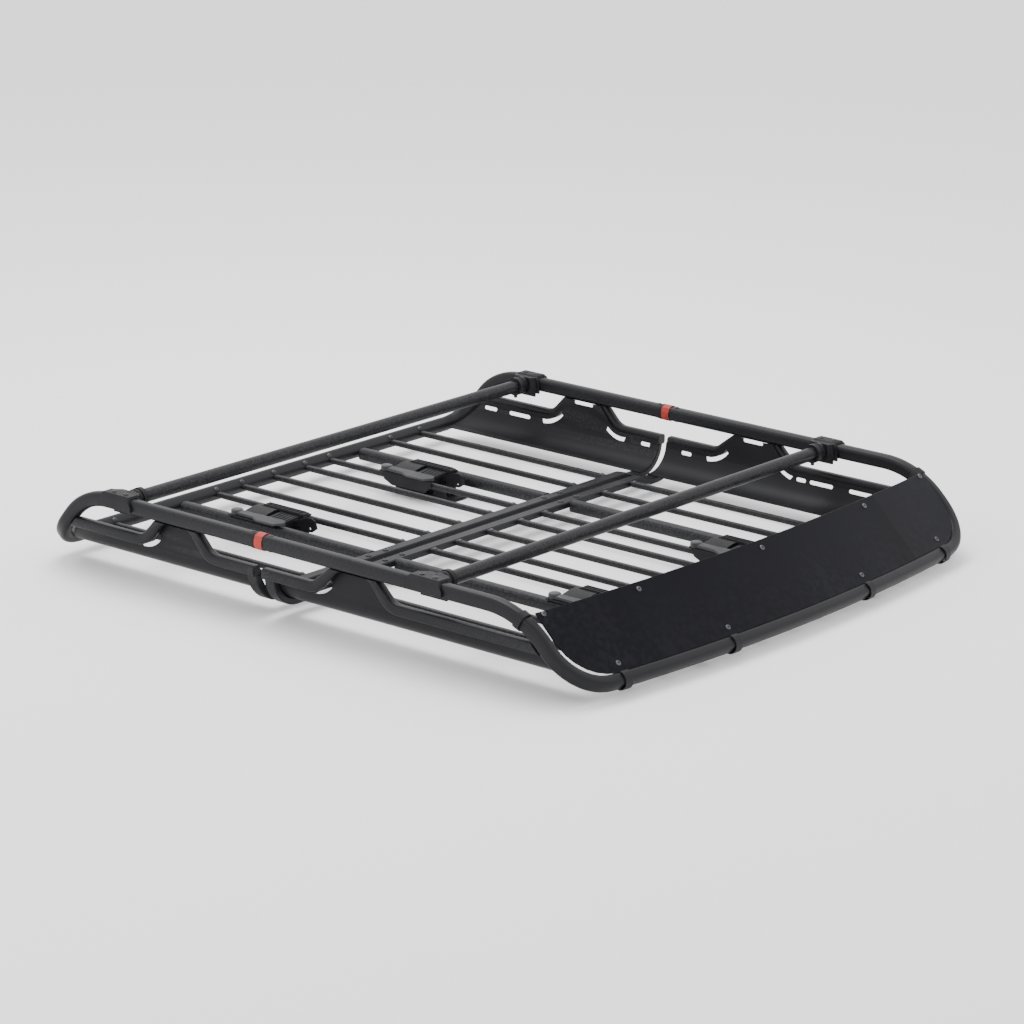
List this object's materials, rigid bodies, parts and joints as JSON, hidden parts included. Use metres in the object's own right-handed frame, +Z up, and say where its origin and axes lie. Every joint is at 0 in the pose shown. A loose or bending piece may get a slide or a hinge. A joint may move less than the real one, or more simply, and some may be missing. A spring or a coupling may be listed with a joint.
{
  "type": "roof cargo basket",
  "caption": "Bent-tube roof cargo basket with a slatted floor, slotted side panels, sliding load bars, a bowed wind fairing and lever clamps for a vehicle's crossbars.",
  "frame": {"origin": "middle of the footprint, on the plane the four clamp jaws stand on", "axes": "+X to the vehicle's right as seen from behind, -Y towards the vehicle's front, where the fairing is, +Z up"},
  "size_m": [1.235, 1.3174, 0.1667],
  "materials": {
    "black_steel": "satin black powder coat, roughness 0.40",
    "panel_steel": "satin black powder coat on sheet, roughness 0.46",
    "black_casting": "fine-textured black glass-filled nylon, roughness 0.50",
    "fairing_black": "smooth blue-black plastic sheet, roughness 0.38",
    "red_band": "red plastic, roughness 0.42"
  },
  "bodies": {
    "frame": {"rear_hoop": "black_steel", "front_hoop": "black_steel", "side_rail_rear_left": "black_steel", "side_panel_rear_left": "panel_steel", "mount_rail_rear_left": "black_steel", "side_rail_rear_right": "black_steel", "side_panel_rear_right": "panel_steel", "mount_rail_rear_right": "black_steel", "middle_member_rear": "black_steel", "slat_rear_1": "black_steel", "slat_rear_2": "black_steel", "slat_rear_3": "black_steel", "slat_rear_4": "black_steel", "slat_rear_5": "black_steel", "slat_rear_6": "black_steel", "slat_rear_7": "black_steel", "slat_rear_8": "black_steel", "slat_rear_9": "black_steel", "side_rail_front_left": "black_steel", "side_panel_front_left": "panel_steel", "mount_rail_front_left": "black_steel", "side_rail_front_right": "black_steel", "side_panel_front_right": "panel_steel", "mount_rail_front_right": "black_steel", "middle_member_front": "black_steel", "slat_front_1": "black_steel", "slat_front_2": "black_steel", "slat_front_3": "black_steel", "slat_front_4": "black_steel", "slat_front_5": "black_steel", "slat_front_6": "black_steel", "slat_front_7": "black_steel", "slat_front_8": "black_steel", "slat_front_9": "black_steel", "rail_coupler_left": "red_band", "rail_coupler_right": "red_band", "fairing": "fairing_black", "fairing_clip_1": "black_casting", "fairing_clip_2": "black_casting", "fairing_clip_3": "black_casting", "fairing_clip_4": "black_casting"},
    "rear_load_bar": {"load_bar_rear": "black_steel", "bar_bracket_rear_left": "black_casting", "bar_bracket_rear_right": "black_casting"},
    "front_load_bar": {"load_bar_front": "black_steel", "bar_bracket_front_left": "black_casting", "bar_bracket_front_right": "black_casting"},
    "rear_left_clamp": {"clamp_body_rear_left": "black_casting"},
    "rear_left_clamp_lever": {"clamp_lever_rear_left": "black_casting"},
    "rear_left_clamp_jaw": {"clamp_jaw_rear_left": "black_casting"},
    "rear_right_clamp": {"clamp_body_rear_right": "black_casting"},
    "rear_right_clamp_lever": {"clamp_lever_rear_right": "black_casting"},
    "rear_right_clamp_jaw": {"clamp_jaw_rear_right": "black_casting"},
    "front_left_clamp": {"clamp_body_front_left": "black_casting"},
    "front_left_clamp_lever": {"clamp_lever_front_left": "black_casting"},
    "front_left_clamp_jaw": {"clamp_jaw_front_left": "black_casting"},
    "front_right_clamp": {"clamp_body_front_right": "black_casting"},
    "front_right_clamp_lever": {"clamp_lever_front_right": "black_casting"},
    "front_right_clamp_jaw": {"clamp_jaw_front_right": "black_casting"}
  },
  "joints": [
    {"name": "rear_load_bar_slide", "type": "slide", "parent": "frame", "child": "rear_load_bar", "axis": [0, 1, 0], "range_m": [-0.27, 0]},
    {"name": "front_load_bar_slide", "type": "slide", "parent": "frame", "child": "front_load_bar", "axis": [0, 1, 0], "range_m": [-0.08, 0.3]},
    {"name": "rear_left_clamp_slide", "type": "slide", "parent": "frame", "child": "rear_left_clamp", "axis": [0, 1, 0], "range_m": [-0.15, 0.09]},
    {"name": "rear_left_lever_turn", "type": "hinge", "parent": "rear_left_clamp", "child": "rear_left_clamp_lever", "pos_m": [-0.26, 0.4909, 0.0488], "axis": [0, 0, -1], "range_deg": [0, 100]},
    {"name": "rear_left_jaw_hinge", "type": "hinge", "parent": "rear_left_clamp", "child": "rear_left_clamp_jaw", "pos_m": [-0.20055, 0.3759, 0.034], "axis": [-1, 0, 0], "range_deg": [0, 25]},
    {"name": "rear_right_clamp_slide", "type": "slide", "parent": "frame", "child": "rear_right_clamp", "axis": [0, 1, 0], "range_m": [-0.15, 0.09]},
    {"name": "rear_right_lever_turn", "type": "hinge", "parent": "rear_right_clamp", "child": "rear_right_clamp_lever", "pos_m": [0.1651, 0.4819, 0.0488], "axis": [0, 0, -1], "range_deg": [0, 100]},
    {"name": "rear_right_jaw_hinge", "type": "hinge", "parent": "rear_right_clamp", "child": "rear_right_clamp_jaw", "pos_m": [0.22455, 0.3669, 0.034], "axis": [-1, 0, 0], "range_deg": [0, 25]},
    {"name": "front_left_clamp_slide", "type": "slide", "parent": "frame", "child": "front_left_clamp", "axis": [0, 1, 0], "range_m": [-0.14, 0.28]},
    {"name": "front_left_lever_turn", "type": "hinge", "parent": "front_left_clamp", "child": "front_left_clamp_lever", "pos_m": [-0.26, -0.2841, 0.0488], "axis": [0, 0, -1], "range_deg": [0, 100]},
    {"name": "front_left_jaw_hinge", "type": "hinge", "parent": "front_left_clamp", "child": "front_left_clamp_jaw", "pos_m": [-0.20055, -0.3991, 0.034], "axis": [-1, 0, 0], "range_deg": [0, 25]},
    {"name": "front_right_clamp_slide", "type": "slide", "parent": "frame", "child": "front_right_clamp", "axis": [0, 1, 0], "range_m": [-0.14, 0.28]},
    {"name": "front_right_lever_turn", "type": "hinge", "parent": "front_right_clamp", "child": "front_right_clamp_lever", "pos_m": [0.1651, -0.2841, 0.0488], "axis": [0, 0, -1], "range_deg": [0, 100]},
    {"name": "front_right_jaw_hinge", "type": "hinge", "parent": "front_right_clamp", "child": "front_right_clamp_jaw", "pos_m": [0.22455, -0.3991, 0.034], "axis": [-1, 0, 0], "range_deg": [0, 25]}
  ],
  "couplings": [
    {"joint": "rear_left_jaw_hinge", "follows": "rear_left_lever_turn", "ratio": 0.25},
    {"joint": "rear_right_jaw_hinge", "follows": "rear_right_lever_turn", "ratio": 0.25},
    {"joint": "front_left_jaw_hinge", "follows": "front_left_lever_turn", "ratio": 0.25},
    {"joint": "front_right_jaw_hinge", "follows": "front_right_lever_turn", "ratio": 0.25}
  ]
}
